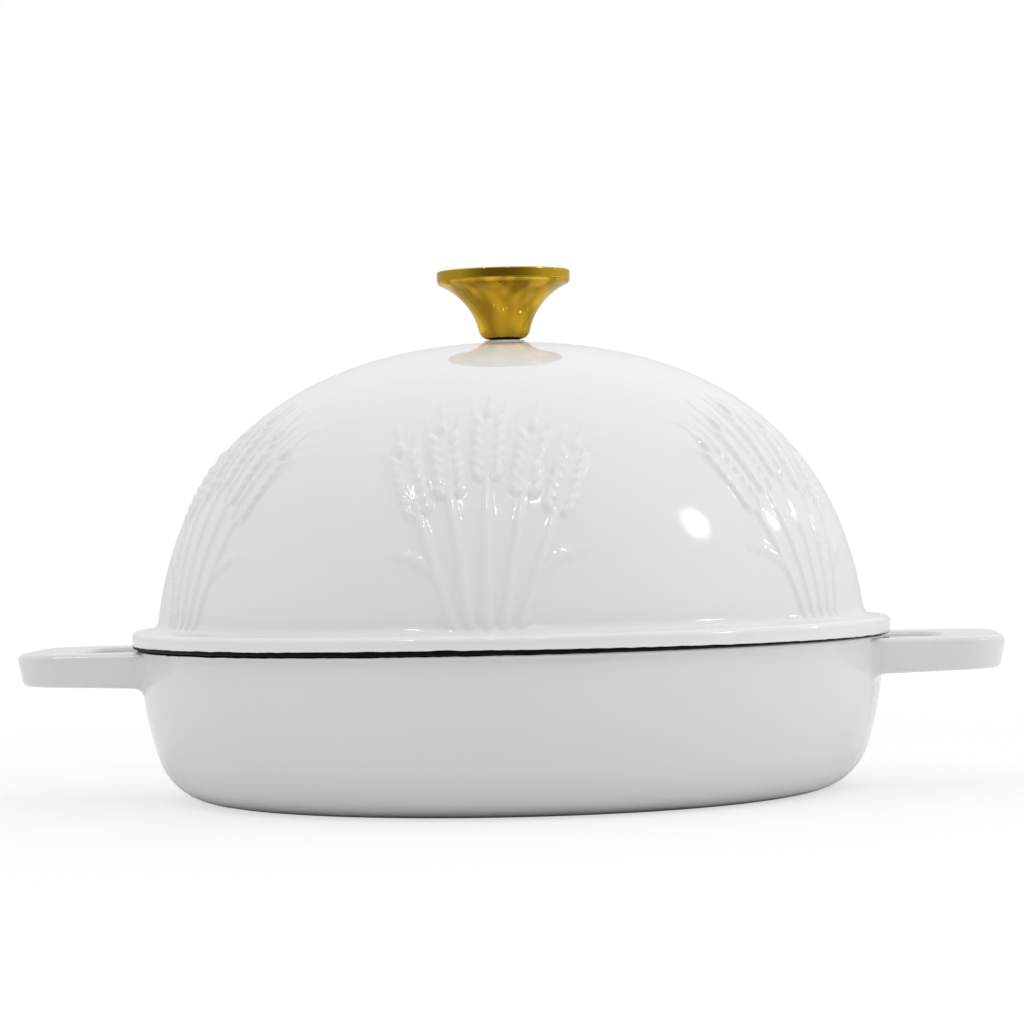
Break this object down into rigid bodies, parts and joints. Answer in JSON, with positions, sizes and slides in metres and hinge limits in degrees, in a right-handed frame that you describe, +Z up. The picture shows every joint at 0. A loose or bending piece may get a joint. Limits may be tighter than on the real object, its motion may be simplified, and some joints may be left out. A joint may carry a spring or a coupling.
{
  "type": "bread cloche",
  "caption": "Cast-iron bread cloche: a shallow pan with loop handles under a lift-off domed lid with a flared knob.",
  "frame": {"origin": "on the table, under the middle of the pan", "axes": "+Z up along the lid's axis, +X along the two handles, +Y away from the front"},
  "size_m": [0.3392, 0.2628, 0.1821],
  "materials": {
    "white_enamel_iron": "cast iron under glossy white enamel, with matte black enamel inside and on the rims",
    "gold_metal": "polished gold",
    "steel": "plain stainless",
    "black_gasket": "matte silicone"
  },
  "bodies": {
    "base": {"base": "white_enamel_iron"},
    "lid": {"lid": "white_enamel_iron", "knob_body": "gold_metal", "knob_top": "gold_metal", "knob_insert": "steel", "knob_gasket": "black_gasket", "flat_washer": "steel", "lock_washer": "steel", "knob_screw": "steel"}
  },
  "joints": [
    {"name": "lid_lift", "type": "slide", "parent": "base", "child": "lid", "axis": [0, 0, 1], "range_m": [0, 0.2]}
  ]
}
